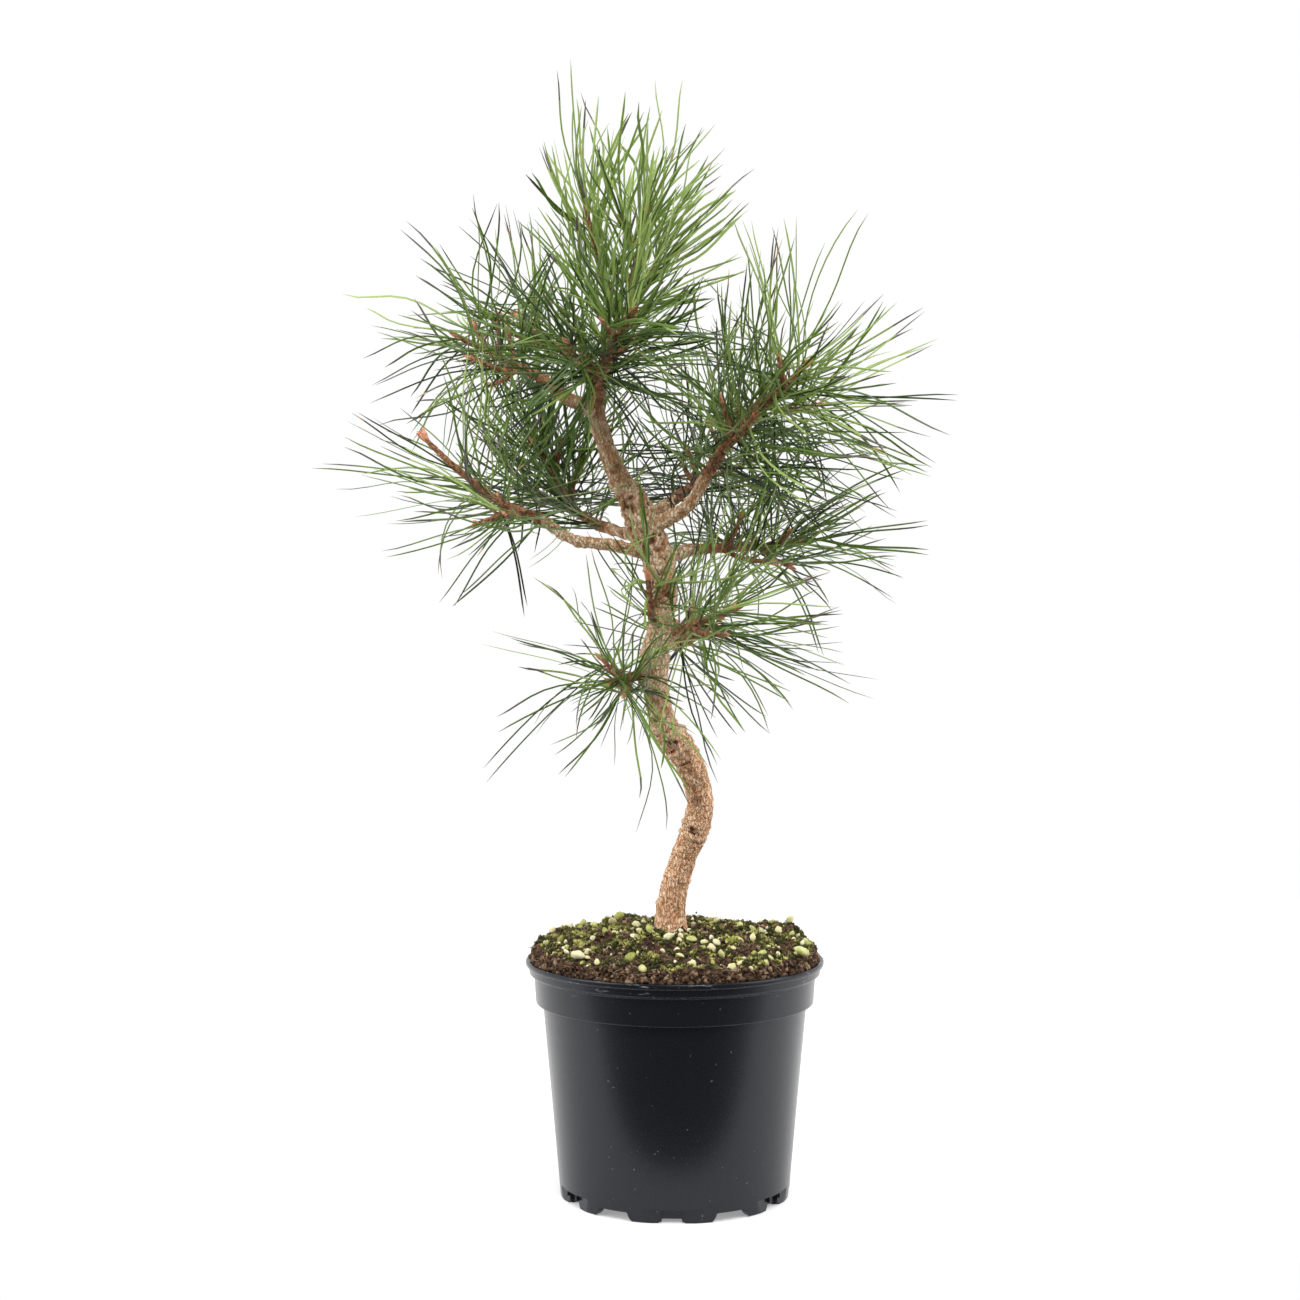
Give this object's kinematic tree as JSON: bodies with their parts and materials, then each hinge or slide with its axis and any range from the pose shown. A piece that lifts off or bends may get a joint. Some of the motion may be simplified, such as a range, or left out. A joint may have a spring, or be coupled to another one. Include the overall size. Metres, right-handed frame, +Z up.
{
  "type": "potted scots pine",
  "caption": "Young pine with a winding trunk, side boughs and tufts of long needles, rooted in soil in a plain nursery pot that stands on its feet.",
  "frame": {"origin": "the middle of the pot's underside, on the flat pad that is level with its feet", "axes": "+Z up, along the plant's height; the view of the picture looks along +Y, with +X to the right"},
  "size_m": [0.3944, 0.3385, 0.7051],
  "materials": {
    "pot_plastic": "moulded black plastic, satin, scuffed on the lip",
    "peat": "damp dark peat with moss and pale grains",
    "bark": "young pine bark, tan and grey, finely flaked",
    "needle_green": "long green needles, slightly glossy"
  },
  "bodies": {
    "root": {"bough_back": "bark", "bough_back_upper": "bark", "bough_front": "bark", "bough_low_back": "bark", "bough_low_front": "bark", "bough_low_left": "bark", "bough_low_right": "bark", "bough_lower_left": "bark", "bough_lower_right": "bark", "bough_middle_left": "bark", "bough_upper_left": "bark", "bough_upper_right": "bark", "needles_back": "needle_green", "needles_back_upper": "needle_green", "needles_front": "needle_green", "needles_low_back": "needle_green", "needles_low_front": "needle_green", "needles_low_left": "needle_green", "needles_low_right": "needle_green", "needles_lower_left": "needle_green", "needles_lower_right": "needle_green", "needles_middle_left": "needle_green", "needles_top": "needle_green", "needles_upper_left": "needle_green", "needles_upper_right": "needle_green", "pot": "pot_plastic", "soil": "peat", "trunk": "bark"}
  },
  "joints": []
}
